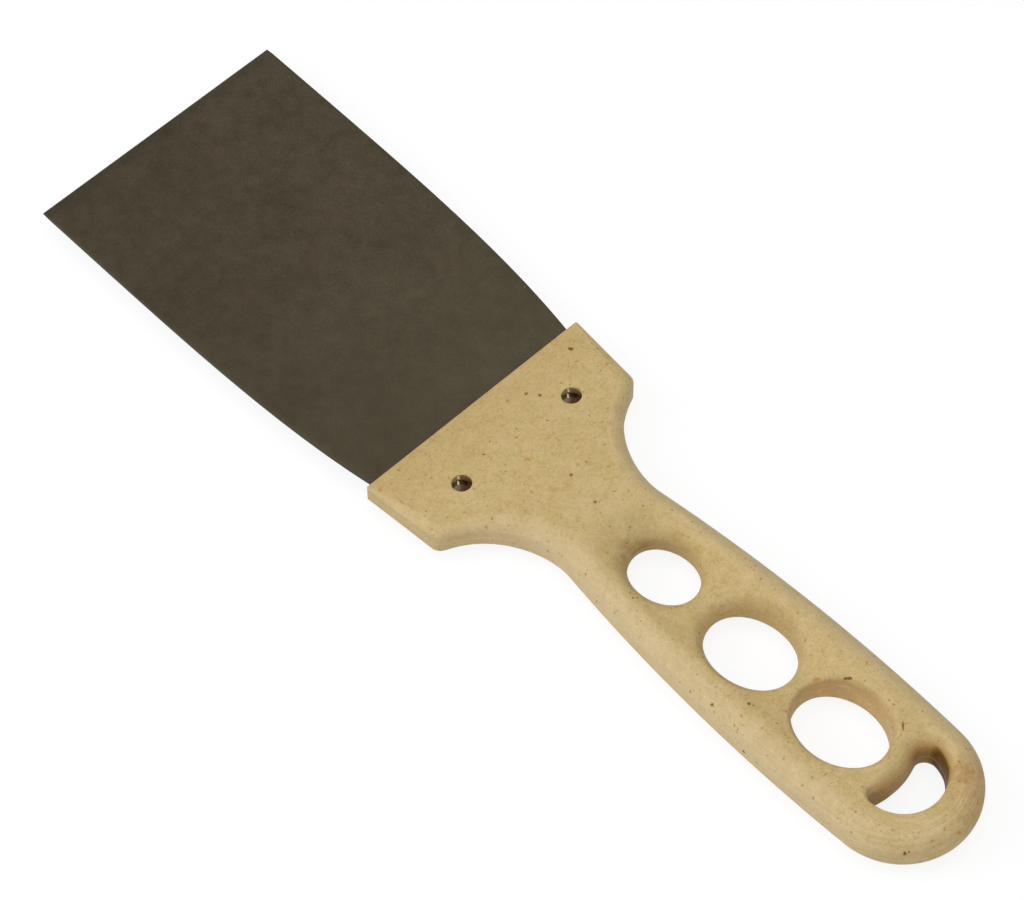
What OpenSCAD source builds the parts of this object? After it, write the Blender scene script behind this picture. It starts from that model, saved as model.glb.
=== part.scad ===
// Putty knife: a thin steel blade held by its tang between two moulded handle scales and two rivets.
// X runs along the knife towards the cutting edge, Y across it and Z up from the surface it lies on.
// The origin is the middle of the box round the knife, on that surface. Sizes are in millimetres.

/* [Blade] */
// Width across the cutting edge
blade_w = 60; // [50:0.5:75]
// Width where the blade meets the handle
heel_w = 51.8; // [46:0.1:54]
// Free length ahead of the handle
blade_free_l = 93; // [60:0.1:120]
// Thickness of the blade sheet
blade_t = 0.9; // [0.6:0.05:1.5]
// Length of the ground bevel at the cutting edge
bevel_l = 1.5; // [0.5:0.1:4]
// Thickness left at the cutting edge
edge_t = 0.3; // [0.1:0.05:0.5]
// Width of the tang inside the handle
tang_w = 42; // [36:0.5:45]
// Length of the tang inside the handle
tang_l = 20; // [17:0.5:24]
// Radius of the tang's rear corners
tang_corner_r = 5; // [3:0.5:8]

/* [Handle] */
// Length of the handle
handle_l = 130.2; // [122:0.1:150]
// Width of the handle's front edge
front_w = 56; // [52:0.1:62]
// Angle at which each side of the front block leans in
side_lean = 5; // [0:0.1:6]
// Radius of the front corners, seen from above
corner_r = 0.6; // [0.6:0.1:3]
// Radius of the shoulders, seen from above
shoulder_r = 3; // [2:0.1:4]
// Distance from the front edge back to the narrowest point of the neck
neck_back = 37.6; // [36:0.1:42]
// Width at the narrowest point of the neck
neck_w = 24.5; // [22:0.1:27]
// Radius of the hollow on each side of the neck
neck_r = 20; // [17:0.1:21]
// Radius of the swelling sides of the grip
side_r = 410; // [150:1:600]
// Radius of the rounded tail
tail_r = 15.6; // [14.5:0.1:18]
// Thickness of the handle at its front edge
front_t = 4; // [3.5:0.1:7]
// Thickness of the grip
grip_t = 10; // [9:0.1:13]
// Length over which the front grows to the grip's thickness
ramp_l = 29; // [20:0.5:45]

/* [Edges] */
// Rounding along the front edge
front_edge_r = 0.3; // [0.2:0.05:0.5]
// Rounding along the sides of the front block
block_edge_r = 1.7; // [0.8:0.1:1.9]
// Distance back from the front edge over which that rounding grows
edge_grow_l = 8; // [4:0.5:12]
// Height of the upright band beside the seam
seam_land = 0.3; // [0.2:0.05:0.6]

/* [Grip holes] */
// Length of the front hole along the knife
hole_1_l = 14.9; // [10:0.1:17]
// Width of the front hole
hole_1_w = 13.2; // [10:0.1:17]
// Length of the middle hole along the knife
hole_2_l = 19.2; // [14:0.1:20]
// Width of the middle hole
hole_2_w = 16.4; // [14:0.1:20]
// Length of the rear hole along the knife
hole_3_l = 20; // [16:0.1:21]
// Width of the rear hole
hole_3_w = 16.8; // [14:0.1:20]
// Distance from the tail end to the front hole's centre
hole_1_fore = 77.3; // [74:0.1:78]
// Distance from the tail end to the middle hole's centre
hole_2_fore = 54.3; // [53:0.1:55]
// Distance from the tail end to the rear hole's centre
hole_3_fore = 31; // [30.5:0.1:31.8]
// Width of the rounding of the hole rims along the bars, but not on the rear hole's front rim
bar_rim_w = 2; // [1:0.1:2.6]
// Width of the rounding of the front and middle hole's rims along the rails
rail_rim_w = 1.7; // [0.6:0.1:2]
// Depth of that rounding along the rails
rail_rim_h = 3; // [0.6:0.1:3.2]
// Rounding of the rear hole's rim along the rails and in front
rear_rim_r = 0.8; // [0.4:0.1:1.5]
// Width of the dished hollow that the holes lie in
dish_w = 20.4; // [19:0.1:21.5]
// Depth of the dished hollow
dish_d = 1.6; // [1:0.1:2.4]
// Distance from the front hole's centre forward to the centre of the hollow's round end
dish_lead = 4.9; // [2:0.1:8]

/* [Hang slot] */
// Radius of the slot's outer wall
slot_r = 8.5; // [8:0.05:11]
// Thickness of the bar between the rear hole and the slot
slot_bar = 5; // [4:0.1:7]
// Radius of the slot's round tips
slot_tip_r = 2.2; // [0.8:0.1:3]

/* [Rivets] */
// Distance from the handle's front edge back to the rivets
rivet_back = 12.6; // [10:0.1:13.5]
// Distance between the rivets
rivet_span = 29.1; // [22:0.1:34]
// Radius of the rivet's heads
rivet_head_r = 1.95; // [1.8:0.05:2.6]
// Radius of the rivet's shank
rivet_r = 1.4; // [1:0.05:1.6]
// Thickness of the rivet's heads
rivet_head_t = 0.4; // [0.3:0.05:0.8]
// Depth of the rivet's heads below the handle's surface
rivet_sink = 1.9; // [0.5:0.05:2.2]

/* [Fits] */
// Clearance round a rivet
rivet_gap = 0.05; // [0.02:0.01:0.1]
// Clearance round the edge of the tang
tang_gap = 0.15; // [0.05:0.05:0.4]

/* [Hidden] */
$fn = 64;

steel = [0.30, 0.28, 0.23];
bright_steel = [0.62, 0.59, 0.54];
tan_composite = [0.76, 0.67, 0.46];

flank_power = 4;       // how late the blade's flanks curve in
flank_steps = 32;      // stations along a flank of the blade
block_steps = 5;       // stations along a side of the front block
round_steps = 6;       // facets across a rounded edge
mouth_steps = 4;       // facets across the rounded mouth of a hole
hole_turns = 40;       // facets round a grip hole
tight_step = 8;        // degrees between the stations along a tight curve
gentle_step = 1.2;     // degrees between the stations along a grip side
trim = 0.04;           // extra height that the flat faces cut off again
past = 1;              // how far a cutter runs past the face that it cuts

edge_x = (blade_free_l + handle_l) / 2;
front_x = edge_x - blade_free_l;
tail_x = -edge_x;
mid_z = grip_t / 2;
neck_c = [front_x - neck_back, neck_w / 2 + neck_r];
tail_c = [tail_x + tail_r, 0];
holes = [
    [tail_x + hole_1_fore, hole_1_l / 2, hole_1_w / 2, rail_rim_w, rail_rim_h, true],
    [tail_x + hole_2_fore, hole_2_l / 2, hole_2_w / 2, rail_rim_w, rail_rim_h, true],
    [tail_x + hole_3_fore, hole_3_l / 2, hole_3_w / 2, rear_rim_r, rear_rim_r, false]
];
rear_hole_c = [tail_x + hole_3_fore, 0];
dish_r = (pow(dish_w / 2, 2) + pow(dish_d, 2)) / (2 * dish_d);
dish_front_x = tail_x + hole_1_fore + dish_lead;
dish_rear_x = rear_hole_c.x;
slot_bar_r = hole_3_l / 2 + slot_bar;
rivet_x = front_x - rivet_back;
rivet_top = half_t(rivet_x) - rivet_sink;
rivet_hole_r = rivet_r + rivet_gap;

// Half of the handle's thickness at a place along it, without the dished hollow
function half_t(x) = (front_t + (grip_t - front_t) * min(1, (front_x - x) / ramp_l)) / 2;

// Height of the upper face above the seam, with the dished hollow
function face_z(x, y) =
    let (over = max(0, x - dish_front_x, dish_rear_x - x),
         sunk = pow(dish_r, 2) - pow(y, 2) - pow(over, 2))
    sunk > 0 ? min(half_t(x), mid_z - dish_d + dish_r - sqrt(sunk)) : half_t(x);

// Rounding of the outer edge at a place along the handle
function edge_r(x) = lookup(front_x - x, [
    [0, front_edge_r],
    [edge_grow_l, block_edge_r],
    [shoulder_back, block_edge_r],
    [neck_back, mid_z - seam_land]
]);

function dir(a) = [cos(a), sin(a)];
function angle(v) = atan2(v.y, v.x);
function rest(list) = [for (i = [1:len(list) - 1]) list[i]];
function flip(list) = [for (i = [len(list) - 1:-1:0]) list[i]];
function points(stations) = [for (s = stations) s[0]];
function other_side(p) = [p.x, -p.y];

// Meeting point of two circles, to the right of the way from the first centre to the second
function meet(c1, r1, c2, r2) =
    let (v = c2 - c1,
         gap = norm(v),
         along = (pow(r1, 2) - pow(r2, 2) + pow(gap, 2)) / (2 * gap))
    c1 + (along * v + sqrt(pow(r1, 2) - pow(along, 2)) * [v.y, -v.x]) / gap;

// Stations along an arc, each a point and its outward direction: side is 1 on a bulge and -1 in a hollow
function arc(c, r, a1, a2, side = 1, step = tight_step) =
    let (n = ceil(abs(a2 - a1) / step))
    [for (i = [0:n])
        let (out = dir(a1 + (a2 - a1) * i / n))
        [c + r * out, side * out]];

// The left side of the handle from the front edge to the tail, as arcs that run into each other
side_out = dir(90 + side_lean);
corner_c = [front_x - corner_r, front_w / 2 - corner_r * (tan(side_lean) + 1 / cos(side_lean))];
block_line = corner_c - (shoulder_r - corner_r) * side_out - neck_c;
block_run = block_line * dir(side_lean);
block_reach = sqrt(pow(block_run, 2) + pow(neck_r + shoulder_r, 2) - pow(norm(block_line), 2));
shoulder_c = neck_c + block_line + (block_reach - block_run) * dir(side_lean);
shoulder_back = front_x - shoulder_c.x;
shoulder_a = angle(neck_c - shoulder_c);
side_c = meet(tail_c, side_r - tail_r, neck_c, side_r + neck_r);
tail_a = angle(tail_c - side_c);
block_from = corner_c + corner_r * side_out;
block_to = shoulder_c + shoulder_r * side_out;
left_side = concat(
    arc(corner_c, corner_r, 0, 90 + side_lean),
    [for (i = [1:block_steps - 1]) [block_from + (block_to - block_from) * i / block_steps, side_out]],
    arc(shoulder_c, shoulder_r, 90 + side_lean, shoulder_a),
    rest(arc(neck_c, neck_r, shoulder_a - 180, angle(side_c - neck_c), -1)),
    rest(arc(side_c, side_r, angle(neck_c - side_c), tail_a, step = gentle_step)),
    rest(arc(tail_c, tail_r, tail_a, 180))
);
right_side = [for (s = left_side) [other_side(s[0]), other_side(s[1])]];
outline = concat(left_side, rest(flip(right_side)));

// A point of the handle's rounded edge: level 0 is at the seam and the last level is on the upper face
function edge_point(station, level) =
    let (p = station[0],
         out = station[1],
         r = min(edge_r(p.x), half_t(p.x) - seam_land),
         top = half_t(p.x - r * out.x) + trim,
         a = 90 * (level - 1) / round_steps,
         q = p - r * (1 - cos(a)) * out)
    level == 0 ? [p.x, p.y, 0] : [q.x, q.y, top - r + r * sin(a)];

// Faces between rings of equally many points, lowest ring first, running anticlockwise from above
function bands(n, rings) = [for (k = [0:rings - 2], i = [0:n - 1])
    let (a = k * n + i,
         b = k * n + (i + 1) % n)
    each [[a, a + n, b + n], [a, b + n, b]]];

// Strips that close a ring whose left and right sides match
function strips(first, n) = [for (i = [0:(n - 3) / 2])
    let (a = first + i,
         b = first + n - 1 - i)
    i == (n - 3) / 2 ? [a, a + 1, b] : [a, a + 1, b - 1, b]];

// Triangles that close a round ring
function fan(first, n) = [for (i = [1:n - 2]) [first, first + i, first + i + 1]];

module handle_blank() {
    n = len(outline);
    top = round_steps + 1;
    rings = [for (level = [0:top], station = outline) edge_point(station, level)];
    lid = [for (face = strips(top * n, n)) flip(face)];
    polyhedron(rings, concat(bands(n, top + 1), strips(0, n), lid));
}

// Everything above the flat faces of the front and of the grip
module above_faces() {
    fore = front_x + past;
    aft = tail_x - past;
    high = mid_z + past;
    ramp_end = [front_x - ramp_l, mid_z];
    rotate([90, 0, 0])
        linear_extrude(front_w + 2 * past, center = true)
            polygon([[fore, half_t(fore)], ramp_end, [aft, mid_z], [aft, high], [fore, high]]);
}

// The dished hollow, as a long round-ended roller would press it
module dish() {
    run = dish_front_x - dish_rear_x;
    translate([dish_rear_x, 0, mid_z - dish_d + dish_r])
        rotate([0, 90, 0])
            rotate_extrude()
                intersection() {
                    translate([0, -dish_r])
                        square([dish_r, run + 2 * dish_r]);
                    union() {
                        square([dish_r, run]);
                        circle(dish_r);
                        translate([0, run])
                            circle(dish_r);
                    }
                }
}

// A grip hole whose mouth is rounded as told along the rails and right down to the seam at the rear bar,
// and at the front bar too where that one is soft
module grip_hole(x, half_l, half_w, rail_w, rail_h, soft_front) {
    turns = [for (i = [0:hole_turns - 1]) dir(360 * i / hole_turns)];
    function reach(t, room, z) = [x + (half_l + room) * t.x, (half_w + room) * t.y, z];
    function bar(t) = soft_front || t.x < 0 ? pow(t.x, 2) : 0;
    function rim_w(t) = rail_w + (bar_rim_w - rail_w) * bar(t);
    function lip(t) = let (p = reach(t, rim_w(t), 0)) face_z(p.x, p.y) + trim;
    function rim_h(t) = rail_h + (lip(t) - seam_land - rail_h) * bar(t);
    function bend(t, a) = reach(t, rim_w(t) * (1 - cos(a)), lip(t) - rim_h(t) * (1 - sin(a)));
    rings = concat(
        [for (t = turns) reach(t, 0, -past)],
        [for (k = [0:mouth_steps], t = turns) bend(t, 90 * k / mouth_steps)],
        [for (t = turns) reach(t, rim_w(t), mid_z + past)]
    );
    last = mouth_steps + 2;
    lid = [for (face = fan(last * hole_turns, hole_turns)) flip(face)];
    polyhedron(rings, concat(bands(hole_turns, last + 1), fan(0, hole_turns), lid));
}

module grip_holes() {
    for (h = holes)
        grip_hole(h[0], h[1], h[2], h[3], h[4], h[5]);
}

// The crescent slot in the tail, between a wall round the tail's centre and a wall round the rear hole
module hang_slot() {
    tip_c = meet(rear_hole_c, slot_bar_r + slot_tip_r, tail_c, slot_r - slot_tip_r);
    bar_a = angle(tip_c - rear_hole_c);
    wall_a = angle(tip_c - tail_c);
    left_half = concat(
        arc(rear_hole_c, slot_bar_r, 180, bar_a),
        arc(tip_c, slot_tip_r, bar_a + 180, wall_a + 360),
        arc(tail_c, slot_r, wall_a, 180)
    );
    translate([0, 0, -past])
        linear_extrude(mid_z + 2 * past)
            polygon(both_sides(points(left_half)));
}

// The left side of the tang from a place ahead of or at the handle's front edge, with room round it
function tang_side(fore, room) = concat(
    [[fore, tang_w / 2 + room]],
    points(arc([front_x - tang_l + tang_corner_r, tang_w / 2 - tang_corner_r], tang_corner_r + room, 90, 180))
);
function both_sides(list) = concat(list, flip([for (p = list) other_side(p)]));

module tang_pocket() {
    linear_extrude(blade_t, center = true)
        polygon(both_sides(tang_side(front_x + past, tang_gap)));
}

module at_rivets() {
    for (side = [-1, 1])
        translate([rivet_x, side * rivet_span / 2, 0])
            children();
}

module rivet_seat() {
    translate([0, 0, -past])
        cylinder(h = mid_z + 2 * past, r = rivet_hole_r);
    translate([0, 0, rivet_top - rivet_head_t])
        cylinder(h = mid_z, r = rivet_head_r + rivet_gap);
}

// One half of the handle, from the seam up
module half_handle() {
    difference() {
        handle_blank();
        above_faces();
        dish();
        grip_holes();
        hang_slot();
        tang_pocket();
        at_rivets() rivet_seat();
    }
}

module rivet(side) {
    shank = rivet_top - rivet_head_t;
    upper = [[0, rivet_top], [rivet_head_r, rivet_top], [rivet_head_r, shank], [rivet_r, shank]];
    translate([rivet_x, side * rivet_span / 2, mid_z])
        rotate_extrude()
            polygon(both_sides(upper));
}

module blade() {
    flank = [for (i = [0:flank_steps])
        let (s = i / flank_steps)
        [edge_x - s * blade_free_l, (blade_w - (blade_w - heel_w) * pow(s, flank_power)) / 2]];
    plan = both_sides(concat(flank, tang_side(front_x, 0)));
    tang_end = front_x - tang_l - past;
    profile = both_sides([[tang_end, blade_t / 2], [edge_x - bevel_l, blade_t / 2], [edge_x, edge_t / 2]]);
    color(steel)
        translate([0, 0, mid_z])
            difference() {
                intersection() {
                    linear_extrude(blade_t, center = true)
                        polygon(plan);
                    rotate([90, 0, 0])
                        linear_extrude(blade_w + 2 * past, center = true)
                            polygon(profile);
                }
                at_rivets()
                    cylinder(h = blade_t + 2 * past, r = rivet_hole_r, center = true);
            }
}

module upper_scale() {
    color(tan_composite)
        translate([0, 0, mid_z])
            half_handle();
}

module lower_scale() {
    color(tan_composite)
        translate([0, 0, mid_z])
            mirror([0, 0, 1])
                half_handle();
}

module left_rivet() {
    color(bright_steel)
        rivet(1);
}

module right_rivet() {
    color(bright_steel)
        rivet(-1);
}

blade();
upper_scale();
lower_scale();
left_rivet();
right_rivet();
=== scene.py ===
# %% [markdown]
# # A putty knife
# A thin steel blade is riveted by its tang between the two halves of a moulded handle. The solid model that
# is loaded first is the frame: it fixes every size and place. The cells below dress it. Each piece that shows
# is worked out again as a fine, smooth surface in the same place, and then gets its finish.

import bmesh
import bpy
import numpy as np
from mathutils import Matrix


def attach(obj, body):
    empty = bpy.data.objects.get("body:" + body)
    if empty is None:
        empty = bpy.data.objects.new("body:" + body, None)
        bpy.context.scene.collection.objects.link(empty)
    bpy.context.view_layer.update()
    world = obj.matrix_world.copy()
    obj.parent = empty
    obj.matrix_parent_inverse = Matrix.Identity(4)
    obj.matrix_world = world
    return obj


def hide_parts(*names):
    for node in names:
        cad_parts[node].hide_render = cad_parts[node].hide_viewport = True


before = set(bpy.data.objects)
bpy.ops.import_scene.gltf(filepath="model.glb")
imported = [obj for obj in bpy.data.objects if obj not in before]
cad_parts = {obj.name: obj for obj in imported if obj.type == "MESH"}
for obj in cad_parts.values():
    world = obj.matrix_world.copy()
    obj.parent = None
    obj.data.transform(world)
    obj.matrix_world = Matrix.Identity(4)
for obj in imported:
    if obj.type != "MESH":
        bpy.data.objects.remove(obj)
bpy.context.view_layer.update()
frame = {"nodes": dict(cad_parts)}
print("frame:", ", ".join(frame["nodes"]))

# %% [markdown]
# ## Camera
# A camera can be set by eye, but a photograph holds enough straight lines and known corners to work it out.
# The angles and the distance here came from such a fit to the blade's corners, the front edge of the handle
# and the rivets. The long lens keeps the far end of the knife nearly as large as the near end. The knife lies
# along X with its cutting edge at +X, and all sizes are in millimetres until they go into a mesh.

# %% Camera
MM = 0.001
blade_free_l, handle_l, grip_t = 93.0, 130.2, 10.0
edge_x = (blade_free_l + handle_l) / 2
front_x, tail_x, mid_z = edge_x - blade_free_l, -edge_x, grip_t / 2
frame_px, sensor_mm, focal_px = 1024, 36.0, 4456.6
azimuth, elevation, roll = 133.404, 57.057, -0.199
# The middle of the cutting edge as the camera sees it: how far to the right, down and ahead
edge_seen = np.array([-71.81, -64.49, 900.44])


def rotation(axis, degrees):
    """Turning by an angle about X or Z, as a 3 by 3 array."""
    return np.array(Matrix.Rotation(np.radians(degrees), 3, axis))


look = rotation("Z", roll) @ rotation("X", 90 + elevation) @ rotation("Z", azimuth)
right, down, ahead = look
eye = np.array([edge_x, 0, mid_z]) - look.T @ edge_seen
camera = bpy.data.objects.new("camera", bpy.data.cameras.new("camera"))
camera.data.lens = focal_px * sensor_mm / frame_px
camera.data.sensor_width = sensor_mm
pose = np.eye(4)
pose[:3] = np.column_stack([right, -down, -ahead, eye * MM])
camera.matrix_world = Matrix(pose.tolist())
bpy.context.scene.collection.objects.link(camera)
bpy.context.scene.camera = camera
print("lens", round(camera.data.lens, 1), "mm, eye", eye.round(1))

# %% [markdown]
# ## Outline of the handle
# Seen from above, each side of the handle is a chain of arcs that run into each other: a small front corner,
# a straight block side, a shoulder, the hollow of the neck, the long swelling side of the grip and the round
# tail. It could be drawn with a Bezier curve, but arcs give exact distances to the edge, and the rounding of
# the edge is a function of that distance.

# %% Arcs
def unit(degrees):
    """Directions in the plane at these angles."""
    a = np.radians(degrees)
    return np.stack([np.cos(a), np.sin(a)], -1)


def angle(v):
    """The angle of a direction in the plane, in degrees."""
    return np.degrees(np.arctan2(v[..., 1], v[..., 0]))


def meet(c1, r1, c2, r2):
    """Where two circles cross, to the right of the way from the first centre to the second."""
    v = c2 - c1
    gap = np.hypot(*v)
    along = (r1**2 - r2**2 + gap**2) / (2 * gap)
    return c1 + (along * v + np.sqrt(r1**2 - along**2) * np.array([v[1], -v[0]])) / gap


def arc(c, r, a1, a2, step):
    """Points along an arc, no more than a step of millimetres apart."""
    n = int(np.ceil(np.radians(abs(a2 - a1)) * r / step))
    return c + r * unit(np.linspace(a1, a2, n + 1))


print("a quarter of a circle of 10 mm in steps of 0.5 mm:", len(arc(0, 10, 0, 90, 0.5)), "points")

# %% Outline
front_w, side_lean, corner_r, shoulder_r = 56.0, 5.0, 0.6, 3.0
neck_back, neck_w, neck_r, side_r, tail_r = 37.6, 24.5, 20.0, 410.0, 15.6
tang_w, tang_l, tang_corner_r, tang_gap, blade_t = 42.0, 20.0, 5.0, 0.15, 0.9
neck_c = np.array([front_x - neck_back, neck_w / 2 + neck_r])
tail_c = np.array([tail_x + tail_r, 0])
lean = np.radians(side_lean)
side_out = unit(90 + side_lean)
corner_c = np.array([front_x - corner_r, front_w / 2 - corner_r * (np.tan(lean) + 1 / np.cos(lean))])
block_line = corner_c - (shoulder_r - corner_r) * side_out - neck_c
block_run = block_line @ unit(side_lean)
block_reach = np.sqrt(block_run**2 + (neck_r + shoulder_r)**2 - block_line @ block_line)
shoulder_c = neck_c + block_line + (block_reach - block_run) * unit(side_lean)
shoulder_a = angle(neck_c - shoulder_c)
side_c = meet(tail_c, side_r - tail_r, neck_c, side_r + neck_r)
tail_a = angle(tail_c - side_c)
# Centre, radius, first and last angle, and the greatest distance between points
ARCS = [
    (corner_c, corner_r, 0, 90 + side_lean, 0.06),
    (shoulder_c, shoulder_r, 90 + side_lean, shoulder_a, 0.2),
    (neck_c, neck_r, shoulder_a - 180, angle(side_c - neck_c), 0.45),
    (side_c, side_r, angle(neck_c - side_c), tail_a, 0.5),
    (tail_c, tail_r, tail_a, 180, 0.5),
]
pocket_y = tang_w / 2 + tang_gap
mouth_count, corner_count, block_count = 36, 11, 30
front_run = np.concatenate([
    np.linspace(0, pocket_y, mouth_count), np.linspace(pocket_y, corner_c[1], corner_count)[1:-1],
])
block_ends = np.array([corner_c + corner_r * side_out, shoulder_c + shoulder_r * side_out])
block_side = block_ends[0] + np.linspace(0, 1, block_count)[1:-1, None] * (block_ends[1] - block_ends[0])
curves = [arc(*a) for a in ARCS]
left = np.concatenate([
    np.column_stack([np.full(front_run.shape, front_x), front_run]),
    curves[0], block_side, curves[1], *[c[1:] for c in curves[2:]],
])
left[-1] = tail_x, 0
print("outline:", len(left), "stations a side, widest", round(2 * left[:, 1].max(), 2))

# %% [markdown]
# The handle is then cut across into cells, one round each opening. The cuts run along the middle of the bars
# between the holes, and their ends become stations of the outline, so that neighbours share their points.

# %% Cells
TINY = 1e-6
# The holes: their middles in front of the tail's end, and half their lengths and widths
HOLES_FORE = 77.3, 54.3, 31.0
hole_c = np.array([[tail_x + fore, 0] for fore in HOLES_FORE])
hole_half = np.array([[14.9, 13.2], [19.2, 16.4], [20.0, 16.8]]) / 2
slot_bar, slot_r, slot_tip_r = 5.0, 8.5, 2.2
slot_bar_r = hole_half[2, 0] + slot_bar
slot_tip_c = meet(hole_c[2], slot_bar_r + slot_tip_r, tail_c, slot_r - slot_tip_r)
rivet_back, rivets_apart = 12.6, 29.1
rivet_c = np.array([front_x - rivet_back, rivets_apart / 2])
head_seat_r, shank_seat_r = 2.0, 1.45
behind_tang, before_hole = 0.5, 3.4
neck_cuts = front_x - tang_l - behind_tang, hole_c[0, 0] + hole_half[0, 0] + before_hole
bar_cuts = [((hole_c[i] - hole_half[i] + hole_c[i + 1] + hole_half[i + 1]) / 2)[0] for i in (0, 1)]
tail_cut = (hole_c[2, 0] - hole_half[2, 0] + slot_tip_c[0] + slot_tip_r) / 2
cuts = [*neck_cuts, *bar_cuts, tail_cut]
for x in cuts:
    i = int(np.argmax(left[:, 0] < x - TINY))
    share = (left[i - 1, 0] - x) / (left[i - 1, 0] - left[i, 0])
    left = np.insert(left, i, left[i - 1] + share * (left[i] - left[i - 1]), axis=0)
# Stations within 1 mm of the axis count as farther away, so that each cut ends on the side
cut_at = [int(np.argmin(abs(left[:, 0] - x) + (left[:, 1] < 1))) for x in cuts]
outline = np.concatenate([left, left[-2:0:-1] * [1, -1]])
across_half = 32
ACROSS = np.cos(np.linspace(0, np.pi, 2 * across_half + 1))


def bar_line(i):
    """The points of a cut from its left end to its right end, closest together at the ends."""
    x, y = left[cut_at[i]]
    return np.column_stack([np.full(ACROSS.shape, x), y * ACROSS])


print("cuts at", np.round(cuts, 2))

# %% [markdown]
# ## Height of the upper face
# The face is a height field: a flat ramp from the thin front to the thick grip, with a long dished hollow
# pressed into the grip. Its edges and the mouths of its openings are rounded by taking something off that
# height near each of them: most right at the wall and nothing beyond the width of the rounding. A Bevel
# modifier rounds alike everywhere, but here the rounding grows from the crisp front to the full round grip,
# and is wide across the bars and narrow along the rails.

# %% Ramp and dish
front_t, ramp_l, ramp_soft, crest_soft = 4.0, 29.0, 0.05, 0.2
dish_w, dish_d, dish_lead = 20.4, 1.6, 4.9
dish_r = ((dish_w / 2)**2 + dish_d**2) / (2 * dish_d)
dish_x = hole_c[0, 0] + dish_lead, hole_c[2, 0]


def soft_min(a, b, k):
    """The smaller of two heights, with the crease between them rounded over a height of k."""
    h = np.clip(0.5 + 0.5 * (b - a) / k, 0, 1)
    return b + (a - b) * h - k * h * (1 - h)


def face_z(x, y):
    """Height of the face above the seam: a softened ramp, and a roller with round ends that dishes it."""
    grow = (front_x - x) / ramp_l
    flat = (front_t + (grip_t - front_t) * (1 - ramp_soft * np.logaddexp(0, (1 - grow) / ramp_soft))) / 2
    over = np.maximum(0, np.maximum(x - dish_x[0], dish_x[1] - x))
    sunk = np.maximum(dish_r**2 - y**2 - over**2, 0)
    return soft_min(flat, mid_z - dish_d + dish_r - np.sqrt(sunk), crest_soft)


ends = np.array([front_x, neck_c[0]])
print("half thickness at the front and in the neck:", face_z(ends, 0).round(2))

# %% [markdown]
# Each rounding needs to know how far a point lies from its wall. For arcs that distance is exact; for an oval
# it takes a few steps of Newton's method.

# %% Distances
mitre_soft, newton_steps = 1.6, 8


def edge_gap(p, fronted=True):
    """Distance to the outline: the least of the distances to the front, the block's sides, the neck and, for
    the points in their sectors, the side and the tail. The shoulder's arc is left out, so that the bevels of
    block and neck meet there in a slightly softened mitre. Without the front, only the sides count."""
    q = np.stack([p[..., 0], abs(p[..., 1])], -1)
    neck = np.hypot(*np.moveaxis(q - neck_c, -1, 0)) - neck_r
    gaps = [soft_min((block_ends[0] - q) @ side_out, neck, mitre_soft)]
    if fronted:
        gaps.append(front_x - q[..., 0])
    for c, r, a1, a2, _ in ARCS[3:]:
        a = angle(q - c)
        gap = r - np.hypot(*np.moveaxis(q - c, -1, 0))
        gaps.append(np.where((a >= min(a1, a2) - TINY) & (a <= max(a1, a2) + TINY), gap, np.inf))
    return np.maximum(np.min(gaps, axis=0), 0)


def oval_room(q, half):
    """How far an oval has to grow all round to reach a point, by Newton's steps from the oval outwards."""
    room = np.zeros(q.shape[:-1])
    for _ in range(newton_steps):
        e = q / (half + room[..., None])
        room += ((e**2).sum(-1) - 1) / (2 * (e**2 / (half + room[..., None])).sum(-1))
    return np.maximum(room, 0)


def slot_room(p):
    """Distance to the crescent slot: to its outer wall, its wall on the bar's side or its round tips."""
    q = np.stack([p[..., 0], abs(p[..., 1])], -1)
    wall = np.hypot(*np.moveaxis(q - tail_c, -1, 0)) - slot_r
    bar = slot_bar_r - np.hypot(*np.moveaxis(q - hole_c[2], -1, 0))
    tip = q - slot_tip_c
    n1, n2 = slot_tip_c - tail_c, hole_c[2] - slot_tip_c
    in_tip = (n2[0] * tip[..., 1] > n2[1] * tip[..., 0]) & (tip[..., 0] * n1[1] > tip[..., 1] * n1[0])
    gap = np.where(in_tip, np.hypot(tip[..., 0], tip[..., 1]) - slot_tip_r, np.maximum(wall, bar))
    return np.maximum(gap, 0)


print("from the left rivet to the nearest edge:", edge_gap(rivet_c).round(1), "mm")

# %% [markdown]
# The roundings differ from place to place. The outer edge is almost a flat bevel on the block and a quarter
# of an ellipse on the grip. The slot is scooped out widest at its right tip, in the upper half more than
# below.

# %% Finished face
land, blend_power = 0.3, 4
# The outer edge at four distances behind the front: width, height and power of the rounding
edge_from = [0, 8, front_x - shoulder_c[0], neck_back]
edge_w, edge_h = [0.3, 1.7, 2.0, mid_z - land], [0.3, 1.0, 1.7, mid_z - land]
edge_power = [1.2, 1.2, 1.5, 2.0]
# Each hole's rim in front, along the rails and behind: its width, and its share of the height above the seam
RIMS = np.array([
    [[4.0, 1.0], [2.6, 0.8], [2.7, 1.0]],
    [[2.7, 1.0], [2.2, 0.8], [2.3, 1.0]],
    [[1.1, 0.3], [1.2, 0.4], [1.8, 0.8]],
])
# The slot's rim, width and height, at the tail's left, on the bar and at the right tip of each half
SLOT_RIM, UPPER_TIP, LOWER_TIP = [(0.4, 0.4), (2.2, 3.7)], (4.2, 3.9), (2.8, 3.9)
# The way from the tail's left to that tip, and how far along it those three lie
slot_way, slot_turn = np.array([1, -0.6]), (-6, 0, 6)
RIVET_RIM = (0.15, 0.15)


def bend(gap, width, power=2.0):
    """Share of a rounding's depth at a distance from its wall, 1 down to 0. A power of 2 is a quarter of an
    ellipse, and a power near 1 is almost a flat bevel."""
    q = np.clip(1 - gap / width, 0, 1)
    return 1 - (1 - q**power)**(1 / power)


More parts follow.
